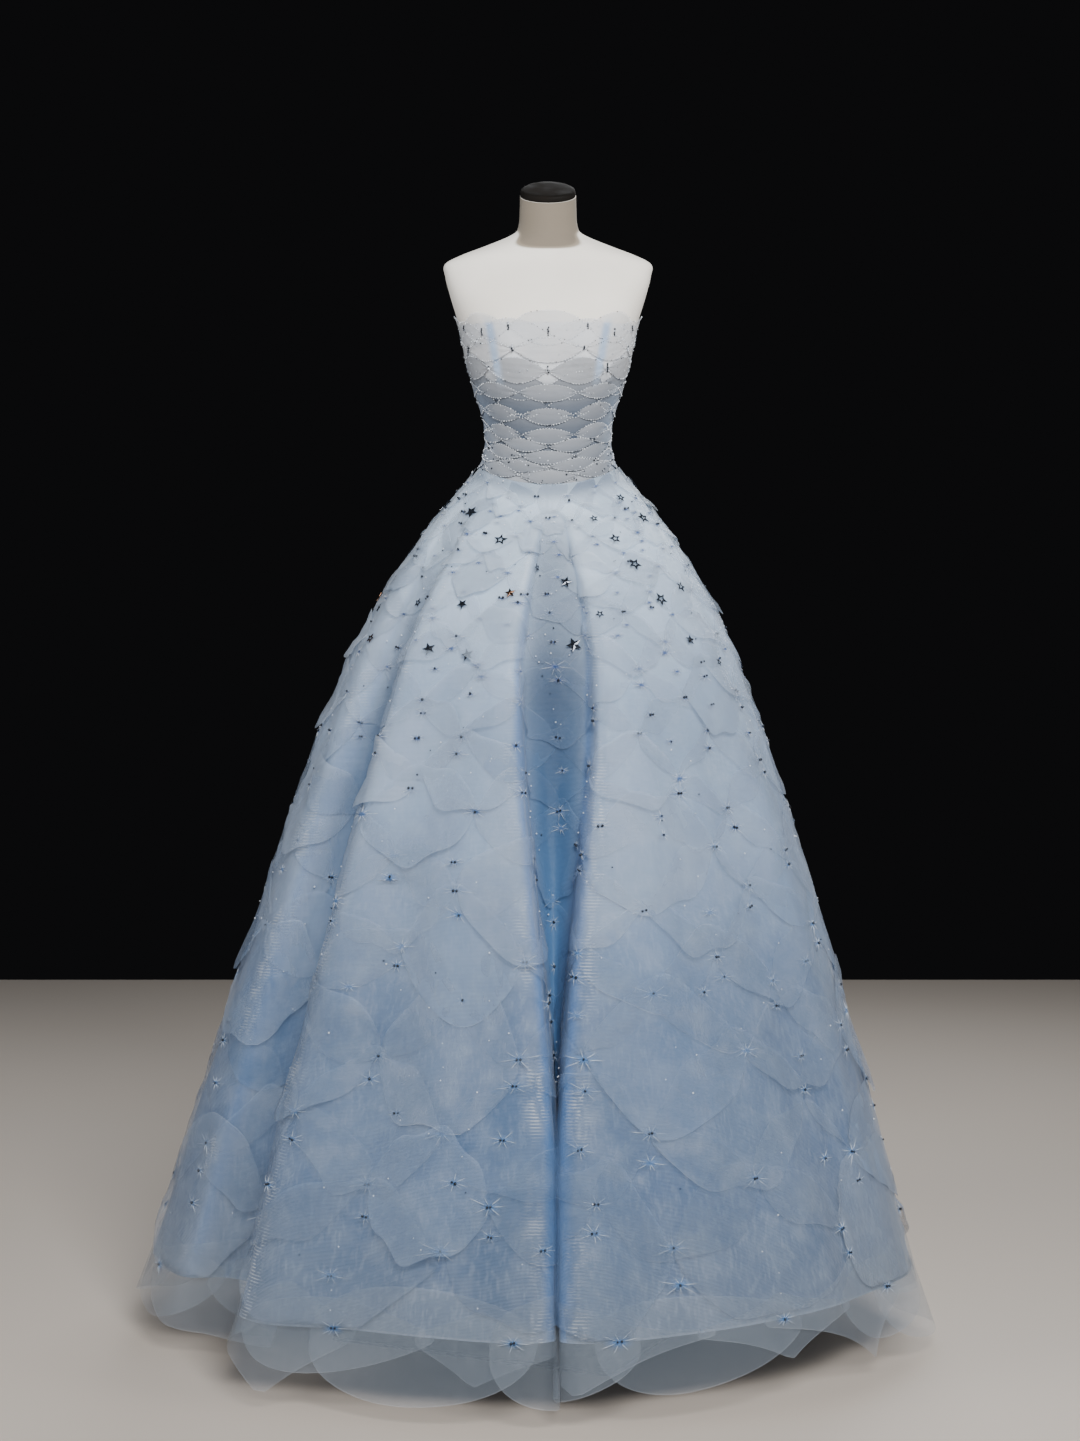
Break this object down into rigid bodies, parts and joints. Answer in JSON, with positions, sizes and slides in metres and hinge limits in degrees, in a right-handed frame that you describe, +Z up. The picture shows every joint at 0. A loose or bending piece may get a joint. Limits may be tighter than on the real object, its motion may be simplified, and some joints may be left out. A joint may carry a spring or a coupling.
{
  "type": "ball gown on a dress form",
  "caption": "Strapless full-length ball gown of overlapping pleated organza petals, with a fitted bodice and deep skirt folds, on a limbless dress form with a pole and plate base.",
  "frame": {"origin": "on the floor, under the middle of the whole part's box", "axes": "+Z up, the gown's front faces -Y, +X is to the right as seen from the front"},
  "size_m": [1.3804, 1.3714, 2.0041],
  "materials": {
    "organza": "translucent crisp organza in ice blue, deeper blue where it folds",
    "bodice": "layered organza lens petals with beaded edges, whitish blue",
    "zip": "concealed closed zip in woven tape",
    "form": "off-white linen stretched over the form",
    "cap": "near-black stained and satin varnished",
    "steel": "satin black paint"
  },
  "bodies": {
    "root": {"back_zip": "zip", "bodice_back_left": "bodice", "bodice_back_right": "bodice", "bodice_front": "bodice", "bodice_side_back_left": "bodice", "bodice_side_back_right": "bodice", "bodice_side_front_left": "bodice", "bodice_side_front_right": "bodice", "form_neck_cap": "cap", "form_torso": "form", "hem_petal_01": "organza", "hem_petal_02": "organza", "hem_petal_03": "organza", "hem_petal_04": "organza", "hem_petal_05": "organza", "hem_petal_06": "organza", "hem_petal_07": "organza", "hem_petal_08": "organza", "hem_petal_09": "organza", "hem_petal_10": "organza", "hem_petal_11": "organza", "hem_petal_12": "organza", "hem_petal_13": "organza", "hem_petal_14": "organza", "hem_petal_15": "organza", "hem_petal_16": "organza", "skirt_gore_1": "organza", "skirt_gore_2": "organza", "skirt_gore_3": "organza", "skirt_gore_4": "organza", "skirt_gore_5": "organza", "skirt_gore_6": "organza", "skirt_gore_7": "organza", "skirt_gore_8": "organza", "stand_flange": "steel", "stand_plate": "steel", "stand_pole": "steel", "stand_socket": "steel"}
  },
  "joints": []
}
